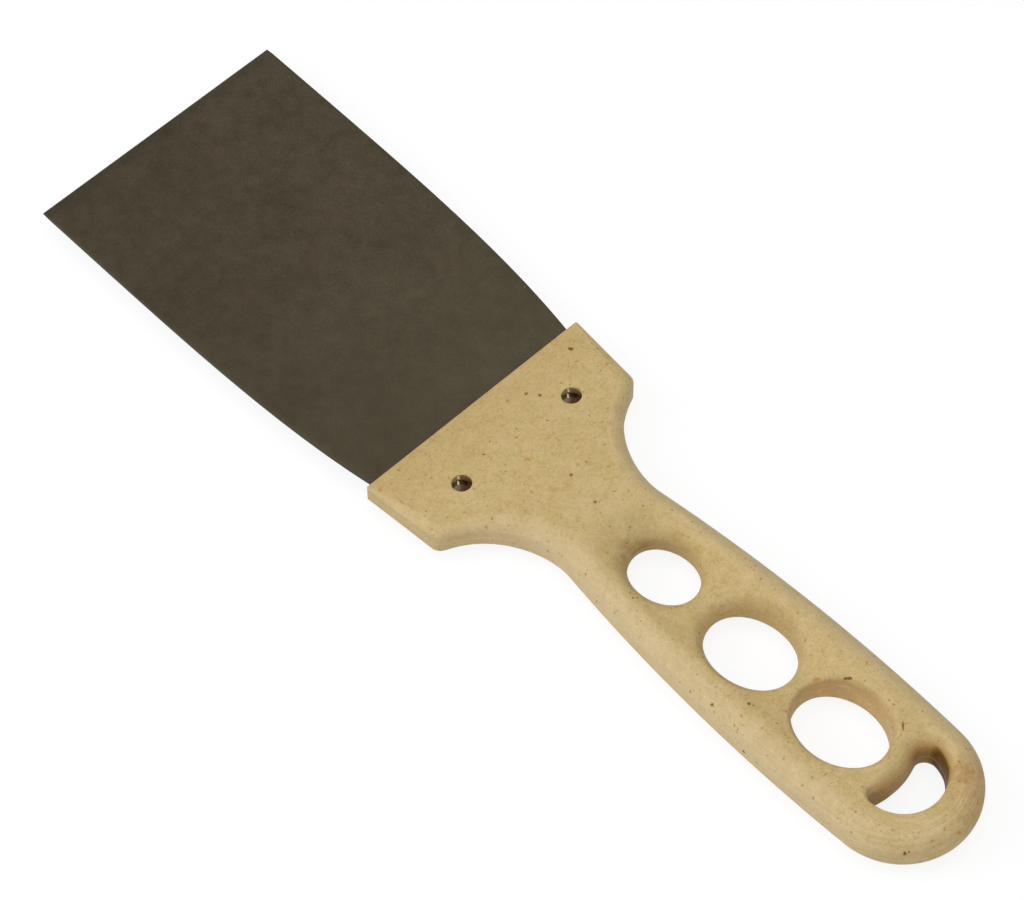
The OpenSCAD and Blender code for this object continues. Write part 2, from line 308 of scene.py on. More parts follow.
def top_z(p, tip=UPPER_TIP):
    """Height of the finished face: the dished ramp less a smooth maximum of what the roundings take off."""
    x, y = p[..., 0], p[..., 1]
    face = face_z(x, y)
    width, depth, power = [np.interp(front_x - x, edge_from, v) for v in (edge_w, edge_h, edge_power)]
    drops = [depth * bend(edge_gap(p), width, power)]
    for c, half, (front, rail, rear) in zip(hole_c, hole_half, RIMS):
        room = oval_room(p - c, half)
        along = ((x - c[0]) / (half[0] + room))[..., None]
        rim = rail + along**2 * (np.where(along > 0, front, rear) - rail)
        drops.append(rim[..., 1] * (face - land) * bend(room, rim[..., 0]))
    width, depth = [np.interp((p - tail_c) @ slot_way, slot_turn, v) for v in zip(*SLOT_RIM, tip)]
    drops.append(depth * bend(slot_room(p), width))
    rivet_gap = np.hypot(x - rivet_c[0], abs(y) - rivet_c[1]) - head_seat_r
    drops.append(RIVET_RIM[1] * bend(np.maximum(rivet_gap, 0), RIVET_RIM[0]))
    drop = (np.array(drops)**blend_power).sum(0)**(1 / blend_power)
    return np.maximum(face - drop, land)


print("height on the bar behind the middle hole:", top_z(np.array([bar_cuts[1], 0.0])).round(2))

# %% [markdown]
# ## Surfaces as grids
# Round an opening, a grid runs along rays: one parameter goes round, the other from the wall of the opening
# out to the edge of its cell, with the points closest together at both ends, where the roundings are. Walls
# are strips that go straight down. Cutting the holes with a Boolean would be quicker to write, but it leaves
# slivers, and the rounding of the mouths would have to be made after it.

# %% Grids
RAY_ROWS = (1 - np.cos(np.linspace(0, np.pi, 41))) / 2


def sheet(grid, closed, turned=False):
    """The points of a grid, row by row, and the quads between its neighbouring rows and columns."""
    rows, cols = grid.shape[:2]
    r, c = np.mgrid[0:rows - 1, 0:cols if closed else cols - 1]
    a, b = r * cols + c, r * cols + (c + 1) % cols
    faces = np.stack([a, a + cols, b + cols, b], -1).reshape(-1, 4)
    return grid.reshape(-1, 3), faces[:, ::-1] if turned else faces


def wall(top, rows, turned):
    """A strip from a closed row of points through further rows."""
    return sheet(np.array([top, *rows]), True, turned)


def down_to(row, low, count):
    """Copies of a row that go down evenly to a height."""
    share = np.linspace(0, 1, count + 1)[1:]
    return [np.column_stack([row[:, :2], row[:, 2] + s * (low - row[:, 2])]) for s in share]


def mirrored(part, axis):
    """A part seen in a mirror, with its faces turned so that they still point outwards."""
    flip = np.ones(3)
    flip[axis] = -1
    return part[0] * flip, part[1][:, ::-1]


def lift(grid, tip):
    """A plan grid put on the height field of the half that has this slot tip."""
    return np.concatenate([grid, top_z(grid, tip)[..., None]], -1)


def ray_cell(inner, outer, tip):
    """Points between two matching closed loops, on straight rays, put on the height field."""
    return lift(inner + RAY_ROWS[:, None, None] * (outer - inner), tip)


print("rows on a ray:", len(RAY_ROWS))

# %% [markdown]
# A cell's two loops match point by point: each point of the outer loop sends a ray to the middle of the
# opening, and the inner point is where that ray meets the wall.

# %% Loops
slot_step, slot_mid = 0.05, tail_c - [2.9, 0]
tip_from_hole, tip_from_tail = angle(slot_tip_c - hole_c[2]), angle(slot_tip_c - tail_c)
slot_half = np.concatenate([
    arc(hole_c[2], slot_bar_r, 180, tip_from_hole, slot_step),
    arc(slot_tip_c, slot_tip_r, tip_from_hole - 180, tip_from_tail, slot_step),
    arc(tail_c, slot_r, tip_from_tail, 180, slot_step),
])


def oval_loop(c, half, outer):
    """Where the rays to the outer loop leave an oval."""
    q = outer - c
    return c + q / np.hypot(*(q / half).T)[:, None]


def slot_loop(outer):
    """Where the rays to the outer loop leave the crescent slot."""
    ring = np.concatenate([slot_half, slot_half * [1, -1]]) - slot_mid
    a = np.arctan2(ring[:, 1], ring[:, 0])
    order = np.argsort(a)
    q = outer - slot_mid
    reach = np.interp(np.arctan2(q[:, 1], q[:, 0]), a[order], np.hypot(*ring[order].T), period=2 * np.pi)
    return slot_mid + q * (reach / np.hypot(*q.T))[:, None]


def hole_cell_loop(front, rear):
    """The edge of a hole's cell, anticlockwise: left side, rear cut, right side and front cut."""
    side = left[cut_at[front]:cut_at[rear] + 1]
    return np.concatenate([side, bar_line(rear)[1:-1], side[::-1] * [1, -1], bar_line(front)[-2:0:-1]])


print("slot:", 2 * len(slot_half), "points round its wall")

# %% [markdown]
# ## One half of the handle
# The cells, the neck between them and the walls are joined into one mesh about the seam. The halves lie on
# each other at the seam, with a shallow pocket for the tang, open at the front. Those flat faces show
# nowhere, so Blender's own filler closes them between the lower edges of the walls. The lower half is the
# mirror image of the upper one, but for the slot's right tip.

# %% Half handle
pocket_z, rivet_shelf_z, well_rows = blade_t / 2, 1.0, (2.8, 2.2, 1.6)
hole_wall_rows, outer_wall_rows, centre_count, pocket_count = 6, 4, 26, 20
tang_c = np.array([front_x - tang_l + tang_corner_r, tang_w / 2 - tang_corner_r])


def tang_outline(room, run):
    """The tang's outline, larger by a room: along the left at these x, round the rear and back."""
    side = np.concatenate([
        np.column_stack([run, np.full(run.shape, tang_w / 2 + room)]),
        arc(tang_c, tang_corner_r + room, 90, 180, 0.5),
    ])
    return np.concatenate([side, side[::-1] * [1, -1]])


def block_parts(tip):
    """The face of the front block round each rivet, and the stepped seat of the rivet below it."""
    centre_run = np.linspace(neck_cuts[0], front_x, centre_count)[1:-1]
    block = np.concatenate([
        left[:cut_at[0] + 1], bar_line(0)[1:across_half + 1], np.column_stack([centre_run, 0 * centre_run]),
    ])
    cell = ray_cell(oval_loop(rivet_c, np.full(2, head_seat_r), block), block, tip)
    ring = (cell[0, :, :2] - rivet_c) / head_seat_r
    at = [(head_seat_r, z) for z in (*well_rows, rivet_shelf_z)]
    at += [(shank_seat_r, rivet_shelf_z), (shank_seat_r, pocket_z)]
    seat = [np.column_stack([rivet_c + r * ring, np.full(len(ring), z)]) for r, z in at]
    parts = sheet(cell, True), wall(cell[0], seat, True)
    return [p for part in parts for p in (part, mirrored(part, 1))]


def grip_parts(tip):
    """The neck as one sheet from side to side, then the face and the wall of each opening."""
    neck = left[cut_at[0]:cut_at[1] + 1]
    plan = np.stack([np.tile(neck[:, 0], (len(ACROSS), 1)), ACROSS[:, None] * neck[:, 1]], -1)
    parts = [sheet(lift(plan, tip), False, True)]
    loops = [hole_cell_loop(i, i + 1) for i in (1, 2, 3)]
    inners = [oval_loop(c, half, loop) for c, half, loop in zip(hole_c, hole_half, loops)]
    tail = left[cut_at[4]:]
    loops.append(np.concatenate([tail, tail[-2::-1] * [1, -1], bar_line(4)[-2:0:-1]]))
    inners.append(slot_loop(loops[3]))
    for inner, loop in zip(inners, loops):
        cell = ray_cell(inner, loop, tip)
        parts += [sheet(cell, True), wall(cell[0], down_to(cell[0], 0, hole_wall_rows), True)]
    return parts


def rim_parts(tip):
    """The outer wall down to the seam, open where the tang comes in, and the wall of the tang's pocket."""
    brim = lift(outline, tip)
    shelf = np.minimum(pocket_z, brim[:, 2] / 2)
    skirt = wall(brim, down_to(brim, shelf, outer_wall_rows), False)
    low = skirt[0][-len(brim):]
    at_mouth = (abs(low[:, 0] - front_x) < TINY) & (abs(low[:, 1]) < pocket_y - TINY)
    points, faces = wall(low, down_to(low, 0, 1), False)
    hem = points, faces[~(at_mouth | np.roll(at_mouth, -1))]
    path = tang_outline(tang_gap, np.linspace(front_x, tang_c[0], pocket_count)[:-1])
    pocket = np.array([np.column_stack([path, np.full(len(path), z)]) for z in (pocket_z, 0)])
    return [skirt, hem, sheet(pocket, False, True)]


def half_handle(tip):
    """One half as points and quads above the seam, open there and at the floor of the pocket."""
    return block_parts(tip) + grip_parts(tip) + rim_parts(tip)


upper_parts = half_handle(UPPER_TIP)
lower_parts = [mirrored(p, 2) for p in half_handle(LOWER_TIP)]
print("half handle:", sum(len(p[1]) for p in upper_parts), "quads")

# %% [markdown]
# The parts become one mesh by welding the points that they share. Edges sharper than an angle stay crisp, and
# everything else is shaded smooth, which is what a mould's polished surface gives.

# %% Meshes from parts
SHARP_DEG, WELD, SLIVER = 38.0, 1e-4, 1e-5


def build(name, parts, height, flats=(), doubled=False):
    """Joins parts into one closed object at a height: welds their shared points, fills the open edges that
    lie on each flat level, and adds the mirror image below where the piece is doubled."""
    first = np.cumsum([0] + [len(p) for p, _ in parts])
    points = np.concatenate([p for p, _ in parts])
    faces = np.concatenate([f + n for (_, f), n in zip(parts, first)])
    mesh = bpy.data.meshes.new(name)
    mesh.vertices.add(len(points))
    mesh.vertices.foreach_set("co", points.ravel())
    mesh.loops.add(faces.size)
    mesh.loops.foreach_set("vertex_index", faces.ravel())
    mesh.polygons.add(len(faces))
    mesh.polygons.foreach_set("loop_start", np.arange(0, faces.size, faces.shape[1]))
    mesh.update(calc_edges=True)
    bm = bmesh.new()
    bm.from_mesh(mesh)
    bmesh.ops.remove_doubles(bm, verts=bm.verts, dist=WELD)
    bmesh.ops.dissolve_degenerate(bm, edges=bm.edges, dist=SLIVER)
    for level in flats:
        rim = [e for e in bm.edges if e.is_boundary and all(abs(v.co.z - level) < WELD for v in e.verts)]
        bmesh.ops.triangle_fill(bm, use_beauty=True, use_dissolve=False, edges=rim, normal=(0, 0, -1))
    if doubled:
        copy = bmesh.ops.duplicate(bm, geom=bm.verts[:] + bm.edges[:] + bm.faces[:])["geom"]
        bmesh.ops.scale(bm, vec=(1, 1, -1), verts=[g for g in copy if isinstance(g, bmesh.types.BMVert)])
        bmesh.ops.remove_doubles(bm, verts=bm.verts, dist=WELD)
    bmesh.ops.recalc_face_normals(bm, faces=bm.faces)
    open_edges = sum(not e.is_manifold for e in bm.edges)
    bmesh.ops.transform(bm, matrix=Matrix.Scale(MM, 4) @ Matrix.Translation((0, 0, height)), verts=bm.verts)
    bm.to_mesh(mesh)
    bm.free()
    mesh.polygons.foreach_set("use_smooth", np.ones(len(mesh.polygons), bool))
    mesh.set_sharp_from_angle(angle=np.radians(SHARP_DEG))
    piece = bpy.data.objects.new(name, mesh)
    bpy.context.scene.collection.objects.link(piece)
    tris = sum(len(p.vertices) - 2 for p in mesh.polygons)
    print(name, tris, "triangles,", open_edges, "open edges")
    return piece


upper = build("upper_scale_moulded", upper_parts, mid_z, (0, pocket_z))
lower = build("lower_scale_moulded", lower_parts, mid_z, (0, -pocket_z))

# %% [markdown]
# Five values are stored at the points of each half for its finish. A finish could find them with nodes, but
# the distances are known here already. Flow is how far a point is from the nearest edge or opening, because
# the fibres lie along those. The next is how much paler a point is painted towards the outer sides: partly
# wear, partly a painted sheen. The third is painted light: it lightens and warms the walls of the holes and
# of the bar beside the slot as they go down into shade. The fourth is the brown of the slot's other walls,
# strongest at the outer wall and the right tip: partly a stain, partly painted shade that deepens down them.
# The last is painted shade in a rivet's well, browner on one side and deeper down.

# %% Flow, paling, painted light, stain and painted shade
# Depth below the face where a wall's colour begins and is full, and how far it reaches out from each wall
wall_from, wall_full, wall_reach, bar_reach, slot_reach = 0.3, 1.8, 0.7, 2.4, 4.4
# Paleness at the sides, partly wear and partly a painted sheen, and its reach: at the shoulder, the neck, the
# tail's centre and the tail's end
pale_from = [front_x - shoulder_c[0], neck_back, front_x - tail_c[0], handle_l]
PALE_EDGE, PALE_REACH = [0.2, 0.45, 0.45, 0.05], [2.4, 6.0, 6.0, 6.0]
# How much each hole's deeper walls are painted lighter and warmer: painted light in their shade
HOLE_WALL_LIGHT = [0.25, 0.3, 0.5]
# Brown stain and painted shade in the slot: from the bar's wall outwards over a width, how it comes in near
# the right tip, and less on the left
SLOT_STAIN_SHADE, slot_stain_shade_w, TIP_STAIN_SHADE, stain_shade_turn = [0.1, 1.0], 3.5, [0, 0.6], [1.5, 4.5]
SIDE_STAIN_SHADE, stain_shade_side = [1, 0.5], [0, 6]
# Brown painted shade on either side of a well along a way in the plan, the depth where it is full, and a
# margin
WELL_SHADE, well_way, well_full, well_room = [0.08, 1.0], np.array([-0.7, -0.72]), 0.9, 0.02


def paint(piece):
    """Stores flow, in millimetres, and paling, painted light, slot stain and shade and well shade, from 0 to
    1.
    """
    mesh = piece.data
    co = np.empty(3 * len(mesh.vertices))
    mesh.vertices.foreach_get("co", co)
    x, y, z = co.reshape(-1, 3).T / MM
    p = np.column_stack([x, y])
    below = face_z(x, y) - abs(z - mid_z)
    depth = np.clip((below - wall_from) / (wall_full - wall_from), 0, 1)
    slot = slot_room(p)
    holes = np.array([oval_room(p - c, half) for c, half in zip(hole_c, hole_half)])
    paling, reach = [np.interp(front_x - x, pale_from, v) for v in (PALE_EDGE, PALE_REACH)]
    off_bar = np.hypot(x - hole_c[2, 0], y) - slot_bar_r
    at_hole = np.max(np.clip(1 - holes.T / wall_reach, 0, 1) * HOLE_WALL_LIGHT, axis=1)
    at_bar = np.clip(1 - np.maximum(slot, abs(off_bar)) / bar_reach, 0, 1)
    at_tip = np.interp((p - tail_c) @ slot_way, stain_shade_turn, TIP_STAIN_SHADE)
    stain_shade = np.maximum(np.interp(off_bar, [0, slot_stain_shade_w], SLOT_STAIN_SHADE), at_tip)
    stain_shade = stain_shade * np.interp(y, stain_shade_side, SIDE_STAIN_SHADE)
    from_rivet = p - np.column_stack([np.full(x.shape, rivet_c[0]), rivet_c[1] * np.sign(y)])
    in_well = np.hypot(*from_rivet.T) < head_seat_r + well_room
    shade_side = np.interp(from_rivet @ well_way, [-head_seat_r, head_seat_r], WELL_SHADE)
    # Of these, the paling is partly a painted sheen, the lightening of the walls is painted light, the slot's
    # brown is partly painted shade and the wells' brown is painted shade.
    values = {
        "flow": np.min([edge_gap(p), *holes, slot], axis=0),
        "pale": paling * np.clip(1 - edge_gap(p, False) / reach, 0, 1),
        "wall_light": depth * np.maximum(at_hole, at_bar),
        "slot_stain_shade": stain_shade * depth * np.clip(1 - slot / slot_reach, 0, 1),
        "well_shade": in_well * shade_side * np.clip(below / well_full, 0, 1),
    }
    for name, value in values.items():
        mesh.attributes.new(name, "FLOAT", "POINT").data.foreach_set("value", value.astype(np.float32))
    print(piece.name, "flow up to", values["flow"].max().round(1), "mm")


paint(upper)
paint(lower)

# %% [markdown]
# ## Blade
# The blade is rolled sheet, ground thin along its cutting edge. Its flanks run almost straight and curve in
# just before the handle. The free part is one grid: along the blade one way, across it the other way, with
# close rows at the flanks where the sheared edge is slightly rounded. The tang is a flat plate inside the
# handle with a bore for each rivet. A Solidify modifier could thicken a flat outline, but not grind its edge.

# %% Blade surface
blade_w, heel_w, flank_power = 60.0, 51.8, 4
bevel_l, edge_t, flank_r, thin_share = 1.5, 0.3, 0.2, 0.6
BEVEL_ROWS, FLANK_ROWS = [0, 0.1, 0.3, 0.6, 1.0, 1.4], [0, 0.01, 0.04, 0.09, 0.14, flank_r]
blade_rows, heel_count, middle_count, tang_count, bore_count = 70, 6, 24, 16, 48


def half_width(x):
    """Half the blade's width: full at the cutting edge, less by a fourth power of the way to the heel."""
    return (blade_w - (blade_w - heel_w) * ((edge_x - x) / blade_free_l)**flank_power) / 2


def blade_half():
    """The upper half of the blade about its middle plane, open below and at the top of the tang. Its height
    is that of the ground sheet less the rounding at the flanks."""
    along = np.concatenate([BEVEL_ROWS, np.linspace(bevel_l, blade_free_l, blade_rows)])
    x = edge_x - along
    tang_share = tang_w / 2 / (heel_w / 2 - flank_r)
    inside = np.concatenate([
        np.linspace(1, tang_share, heel_count)[1:], np.linspace(tang_share, 0, middle_count)[1:],
    ])
    w = half_width(x)[:, None]
    y = np.concatenate([w - FLANK_ROWS, (w - flank_r) * inside], 1)
    y = np.concatenate([y, -y[:, -2::-1]], 1)
    ground = np.minimum(blade_t, edge_t + (blade_t - edge_t) * along / bevel_l)[:, None] / 2
    z = ground - np.minimum(flank_r, thin_share * ground) * bend(w - abs(y), flank_r)
    grid = np.stack([np.broadcast_to(x[:, None], y.shape), y, z], -1)
    tang = tang_outline(0, np.linspace(front_x, tang_c[0], tang_count)[1:-1])
    tang = np.column_stack([tang, np.full(len(tang), blade_t / 2)])
    heel = grid[-1]
    ends = np.flatnonzero(abs(abs(heel[:, 1]) - tang_w / 2) < TINY)
    rim = np.concatenate([
        grid[0, ::-1], grid[1:, 0], heel[1:ends[0] + 1], tang, heel[ends[1]:-1], grid[:0:-1, -1],
    ])
    turns = unit(np.linspace(0, 360, bore_count + 1)[:-1])
    bore = np.column_stack([rivet_c + shank_seat_r * turns, np.full(bore_count, blade_t / 2)])
    bore = wall(bore, down_to(bore, 0, 1), True)
    return [sheet(grid, False), wall(rim, down_to(rim, 0, 2), False), bore, mirrored(bore, 1)]


blade = build("blade_sheet", blade_half(), mid_z, (blade_t / 2,), doubled=True)

# %% [markdown]
# ## Rivets
# Each rivet is a short steel pin with a flat head at both ends, set down in a round well below the face of
# the handle. A Screw modifier could spin it; here the profile goes round the axis in one array.

# %% Rivets
rivet_top, rivet_head_r, rivet_r = 1.4, 1.95, 1.4
head_round, head_dome, dome_count, round_count, turn_count = 0.12, 0.05, 9, 6, 96


def rivet(side):
    """A profile of radius and height from the top of the axis to its foot, carried round the axis. The head
    is very slightly domed: its height falls with the square of the radius."""
    r = np.linspace(0, rivet_head_r - head_round, dome_count)
    dome = np.column_stack([r, rivet_top - head_dome * (r / rivet_head_r)**2])
    rim = dome[-1] - [0, head_round] + head_round * unit(np.linspace(90, 0, round_count))[1:]
    under = np.array([[rivet_head_r, rivet_shelf_z], [rivet_r, rivet_shelf_z], [rivet_r, pocket_z]])
    above = np.concatenate([dome, rim, under])
    profile = np.concatenate([above, above[::-1] * [1, -1]])
    turns = unit(np.linspace(0, 360, turn_count + 1)[:-1])
    plan = rivet_c * [1, side] + profile[:, :1, None] * turns
    height = np.broadcast_to(profile[:, 1:], plan.shape[:2])
    return [sheet(np.concatenate([plan, height[..., None]], -1), True)]


left_rivet = build("left_rivet_pin", rivet(1), mid_z)
right_rivet = build("right_rivet_pin", rivet(-1), mid_z)

# %% [markdown]
# ## Shader maths
# A finish is easier to read as a formula than as a web of nodes. This small class stands for one output of a
# node; adding or multiplying two of them adds the Math node that does it.

# %% Wire
# The least dot as a share of the largest, and the share of a dot's radius that is full
DOT_LEAST, DOT_CORE = 0.35, 0.55


class Wire:
    """One output socket of a shader tree. Arithmetic on it adds Math nodes."""

    def __init__(self, tree, socket=None):
        self.tree, self.socket = tree, socket

    def node(self, kind, settings, inputs, out=0):
        """Adds a node: first its settings, then a value or a wire for each input. Gives one output."""
        n = self.tree.nodes.new(kind)
        for key, value in settings.items():
            setattr(n, key, value)
        for key, value in inputs.items():
            if isinstance(value, Wire):
                self.tree.links.new(value.socket, n.inputs[key])
            else:
                n.inputs[key].default_value = value
        return Wire(self.tree, n.outputs[out])

    def twin(self, out):
        """Another output of the same node."""
        return Wire(self.tree, self.socket.node.outputs[out])

    def math(self, operation, *values):
        """A Math node on these values."""
        return self.node("ShaderNodeMath", {"operation": operation}, dict(enumerate(values)))

    def __add__(self, other):
        return self.math("ADD", self, other)

    def __sub__(self, other):
        return self.math("SUBTRACT", self, other)

    def __rsub__(self, other):
        return self.math("SUBTRACT", other, self)

    def __mul__(self, other):
        return self.math("MULTIPLY", self, other)

    def __truediv__(self, other):
        return self.math("DIVIDE", self, other)

    def __rtruediv__(self, other):
        return self.math("DIVIDE", other, self)

    __radd__, __rmul__ = __add__, __mul__

    def vector(self, operation, other, out="Vector"):
        """Vector Math on this vector and another one."""
        return self.node("ShaderNodeVectorMath", {"operation": operation}, {0: self, 1: other}, out)

    def split(self):
        """The x, y and z of this vector."""
        x = self.node("ShaderNodeSeparateXYZ", {}, {0: self})
        return x, x.twin(1), x.twin(2)

    def clamp(self, low, high):
        """0 below low, 1 above high and a smooth step between them."""
        settings = {"interpolation_type": "SMOOTHSTEP"}
        return self.node("ShaderNodeMapRange", settings, {0: self, 1: low, 2: high, 3: 0.0, 4: 1.0})

    def tint(self, under, over):
        """The first colour where this mask is 0 and the second where it is 1."""
        return self.node("ShaderNodeMix", {"data_type": "RGBA"}, {0: self, 6: under, 7: over}, 2)

    def ramp(self, *stops):
        """Colours along this value, from stops of a place and a colour."""
        out = self.node("ShaderNodeValToRGB", {}, {0: self})
        elements = out.socket.node.color_ramp.elements
        for place, _ in stops[2:]:
            elements.new(place)
        for element, (place, shade) in zip(elements, stops):
            element.position, element.color = place, shade
        return out

    def noise(self, size, detail=3.0, roughness=0.5, stretch=(1, 1, 1)):
        """Noise about 0.5 on this vector, whose lumps are about a size of millimetres across."""
        scaled = self.vector("MULTIPLY", stretch)
        inputs = {"Vector": scaled, "Scale": 1 / (size * MM), "Detail": detail, "Roughness": roughness}
        return self.node("ShaderNodeTexNoise", {}, inputs)

    def dots(self, size, share, radius, stretch=(1, 1, 1)):
        """Specks: in a share of the cells of a size, a soft dot of up to a radius, all in millimetres."""
        cells = {"Vector": self.vector("MULTIPLY", stretch), "Scale": 1 / (size * MM), "Randomness": 1.0}
        away = self.node("ShaderNodeTexVoronoi", {}, cells)
        pick = self.node("ShaderNodeSeparateColor", {}, {0: away.twin("Color")})
        reach = (DOT_LEAST + (1 - DOT_LEAST) * pick.twin(1)) * (radius / size)
        return (1 - (away / reach).clamp(DOT_CORE, 1.0)) * pick.math("LESS_THAN", pick, share)


def colour(r, g, b):
    """A colour given as it looks on screen, 0 to 255, as the linear value that a shader takes."""
    c = np.array([r, g, b]) / 255
    return (*np.where(c <= 0.04045, c / 12.92, ((c + 0.055) / 1.055)**2.4), 1.0)


def finish_of(name):
    """A new material: its shader node and the Object coordinates that its patterns read."""
    material = bpy.data.materials.new(name)
    material.use_nodes = True
    tree = material.node_tree
    shader = tree.nodes["Principled BSDF"]
    return material, shader, Wire(tree).node("ShaderNodeTexCoord", {}, {}, "Object")


def connect(shader, **wires):
    """Links wires to the shader's inputs, named with _ for a space."""
    for key, wire in wires.items():
        wire.tree.links.new(wire.socket, shader.inputs[key.replace("_", " ")])


print("tan on screen (197, 172, 119), in a shader", np.round(colour(197, 172, 119)[:3], 3))

# %% [markdown]
# ## Handle finish
# The handle is moulded from resin filled with wood fibre: a warm tan, mottled from fine grain up to broad
# clouds. An image could carry all that, but noise of several sizes needs no file and never repeats. Thin
# washes of olive, green and pink break up the tan. It turns a little browner towards the blade, and the outer
# sides are painted paler, partly as wear and partly as a painted sheen.

# %% Composite colour
composite, shader, where = finish_of("tan_composite")
flow, pale, wall_light, slot_stain_shade, well_shade = [
    where.node("ShaderNodeAttribute", {"attribute_name": name}, {}, "Fac")
    for name in ("flow", "pale", "wall_light", "slot_stain_shade", "well_shade")
]
along, _, height = where.split()
brown_l = 16
grain = where.noise(0.22, 2.0, 0.6)
clump = where.noise(0.7, 3.0, 0.6)
patch = where.noise(2.4, 4.0, 0.6)
cloud = where.noise(12.0, 3.0)
tone = 0.45 * grain + 0.35 * clump + 0.3 * patch + 0.1 * cloud - 0.1
base = tone.ramp((0.3, colour(168, 140, 84)), (0.5, colour(197, 172, 119)), (0.72, colour(212, 191, 144)))
olive = where.noise(1.3, 3.0, 0.6).clamp(0.52, 0.78)
base = (0.4 * olive).tint(base, colour(178, 156, 90))
moss = where.noise(5.0, 3.0, 0.6).clamp(0.5, 0.7)
base = (0.35 * moss).tint(base, colour(182, 162, 102))
blush = where.noise(3.6, 3.0, 0.6).clamp(0.5, 0.7)
base = (0.35 * blush).tint(base, colour(210, 181, 138))
front = along.clamp((front_x - brown_l) * MM, front_x * MM)
base = (0.3 * front).tint(base, colour(176, 148, 92))
# Paler towards the outer sides: partly wear, partly a painted sheen.
base = pale.tint(base, colour(214, 196, 166))
print("composite so far:", len(composite.node_tree.nodes), "nodes")

# %% [markdown]
# The walls of the holes and of the bar beside the slot are painted lighter and warmer as they go down, which
# is painted light in their shade, with pale lines along them. Three broad patches fade out with the distance
# from their middles: painted shade on the tail and on the dish in front of the holes, and a lighter patch on
# the neck.

# %% Painted wall light and broad patches
# Each patch, the first two painted shade: place, distances up to which it is full and at which it is gone,
# and colour
BROAD_PATCHES = [
    (tail_x + 3, -9, 4, 13, (168, 118, 58)),
    (hole_c[0, 0] + 7, 0, 5, 11, (158, 136, 84)),
    (front_x - neck_back + 3, 0, 4, 10, (206, 184, 140)),
]
wall_lines = where.noise(1.0, 3.0, 0.6, (0.3, 0.3, 1.6)).clamp(0.58, 0.7)
# Painted light: the deeper walls are painted lighter and warmer, with pale lines along them.
base = (0.8 * wall_light).tint(base, colour(228, 188, 128))
base = (1.2 * wall_light * wall_lines).tint(base, colour(236, 214, 164))
for x, y, near, far, shade in BROAD_PATCHES:
    away = where.vector("DISTANCE", (x * MM, y * MM, mid_z * MM), "Value")
    patch_share = (1 - away.clamp(near * MM, far * MM)) * (0.25 + 0.5 * moss)
    base = patch_share.tint(base, colour(*shade))
print("smudges:", len(BROAD_PATCHES))

# %% [markdown]
# In the mould the fibres were dragged along the edges. So a noise is read on a vector that runs quickly with
# the distance from the edge and slowly along it, which draws it out into streaks. They are strongest round
# the tail and die out away from the edges.

# %% Streaks
line_pull, line_drift, STREAK_END = 2.2 * MM, 0.12, (2.0, 8.0)
TAIL_FADE, grip_streaks = (-105 * MM, -85 * MM), 0.35
line_at = where.node("ShaderNodeCombineXYZ", {}, {0: line_pull * flow})
streak = line_at.vector("ADD", where.vector("MULTIPLY", (line_drift,) * 3)).noise(0.9, 3.0, 0.6)
in_tail = 1 - along.clamp(*TAIL_FADE)
streaky = (1 - flow.clamp(*STREAK_END)) * (grip_streaks + (1 - grip_streaks) * in_tail)
base = (0.5 * streaky * streak.clamp(0.5, 0.72)).tint(base, colour(214, 195, 155))
base = (0.4 * streaky * (1 - streak.clamp(0.3, 0.46))).tint(base, colour(172, 143, 88))
print("streaks reach", STREAK_END[1], "mm from an edge")

# %% [markdown]
# Specks of bark are what makes it look like fibre. The small ones are cells of a Voronoi texture, of which
# only a share holds a dot. The few large ones are placed one by one. All are read through a vector that
# wanders a little, so that none is a clean disc.

# %% Specks
# Large flecks of the upper face: place, half length, half width and angle
DARK_FLECKS = [
    (14.3, -22.4, 0.7, 0.5, 30), (10.5, -10.4, 0.4, 0.35, 0), (5, -7, 0.35, 0.3, 0), (8, 7, 0.4, 0.3, 60),
    (-18, -6.5, 0.35, 0.3, 0), (-35.5, 9.5, 0.4, 0.3, 0), (-61.5, 14.5, 0.5, 0.4, 20),
    (-66.5, 10, 0.6, 0.4, 60), (-75, -7.5, 1.2, 0.4, 50), (-89.5, -7, 1.3, 0.3, 136),
    (-107, 10.5, 0.5, 0.45, 0),
]
RUST_FLECKS = [
    (1, 2, 0.9, 0.6, 40), (-71, -3.5, 1.2, 0.45, 61), (-75.5, -12, 0.7, 0.4, 130), (-38, -6, 0.4, 0.3, 0),
    (6.5, -24.5, 0.4, 0.3, 0), (16, 26.5, 0.8, 0.4, 30), (-47, 10.5, 0.4, 0.3, 0), (-111, 0.5, 0.8, 0.4, 20),
]
wander_scale, wander_far, fleck_core = 1800.0, 0.9 * MM, 0.5


def flecks(wire, places):
    """1 inside the flecks and 0 outside: each is a soft, drawn-out ball about its place on the upper face."""
    mask = 0.0
    for x, y, length, width, turn in places:
        z = mid_z + float(top_z(np.array([x, y])))
        ball = {
            "Vector": wire, "Location": (x * MM, y * MM, z * MM), "Rotation": (0, 0, np.radians(turn)),
            "Scale": (length * MM, width * MM, width * MM),
        }
        away = wire.node("ShaderNodeMapping", {"vector_type": "TEXTURE"}, ball)
        away = away.vector("LENGTH", (0, 0, 0), "Value")
        mask = wire.math("MAXIMUM", mask, 1 - away.clamp(fleck_core, 1.0))
    return mask


